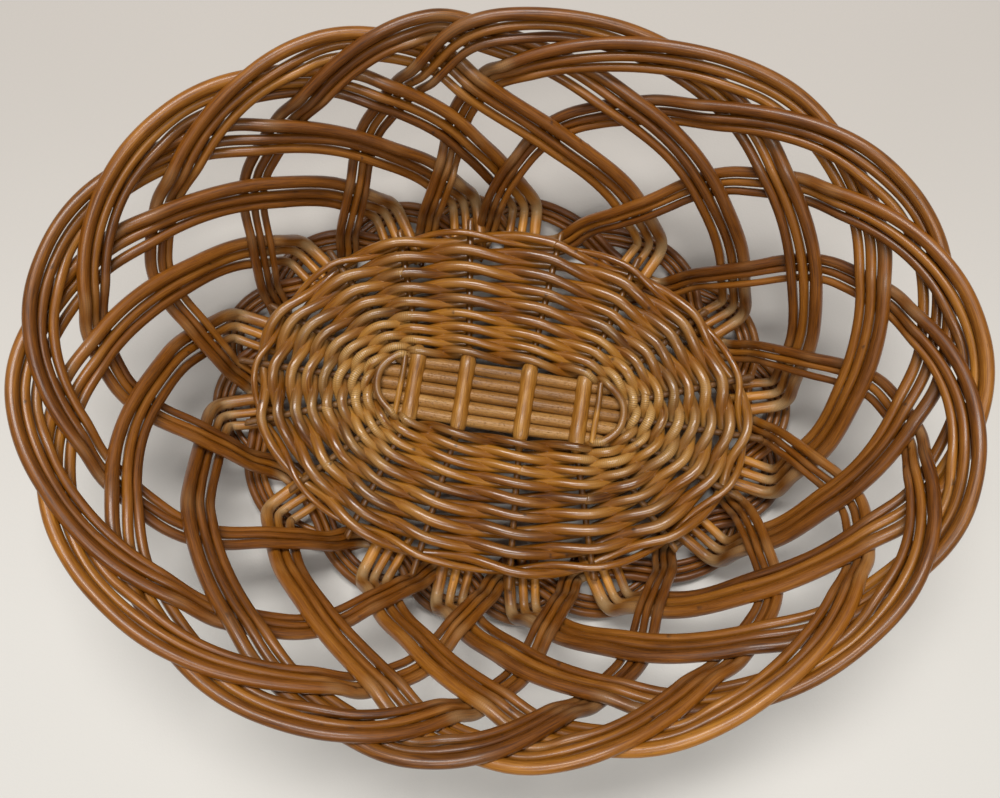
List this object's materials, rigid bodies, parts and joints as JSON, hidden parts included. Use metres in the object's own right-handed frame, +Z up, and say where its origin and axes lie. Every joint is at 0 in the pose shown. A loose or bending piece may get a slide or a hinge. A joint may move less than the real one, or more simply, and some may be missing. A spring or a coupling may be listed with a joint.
{
  "type": "oval openwork wicker basket",
  "caption": "Oval openwork willow basket: woven flat base, groups of rods crossing up to an arched scalloped rim and down again to a looped foot, open on top.",
  "frame": {"origin": "centre of the bounding box on the floor under the foot", "axes": "+X along the length of the rim, +Z up"},
  "size_m": [0.4014, 0.3162, 0.12],
  "materials": {
    "side_rods": "buff willow rods, varnished orange brown, semi-gloss",
    "weavers": "thin buff willow weavers, varnished golden brown, semi-gloss",
    "base_sticks": "pale pitted willow sticks, worn varnish, satin",
    "cross_sticks": "smooth golden willow sticks, varnished, semi-gloss"
  },
  "bodies": {
    "root": {"side_rods_01": "side_rods", "side_rods_02": "side_rods", "side_rods_03": "side_rods", "side_rods_04": "side_rods", "side_rods_05": "side_rods", "side_rods_06": "side_rods", "side_rods_07": "side_rods", "side_rods_08": "side_rods", "side_rods_09": "side_rods", "side_rods_10": "side_rods", "side_rods_11": "side_rods", "side_rods_12": "side_rods", "side_rods_13": "side_rods", "side_rods_14": "side_rods", "side_rods_15": "side_rods", "side_rods_16": "side_rods", "long_stick_1": "base_sticks", "long_stick_2": "base_sticks", "long_stick_3": "base_sticks", "long_stick_4": "base_sticks", "long_stick_5": "base_sticks", "cross_stick_1": "cross_sticks", "cross_stick_2": "cross_sticks", "cross_stick_3": "cross_sticks", "cross_stick_4": "cross_sticks", "tie_stick_left": "cross_sticks", "tie_stick_right": "cross_sticks", "weave_row_01": "weavers", "weave_row_02": "weavers", "weave_row_03": "weavers", "weave_row_04": "weavers", "weave_row_05": "weavers", "weave_row_06": "weavers", "weave_row_07": "weavers", "weave_row_08": "weavers", "outer_row": "weavers"}
  },
  "joints": []
}
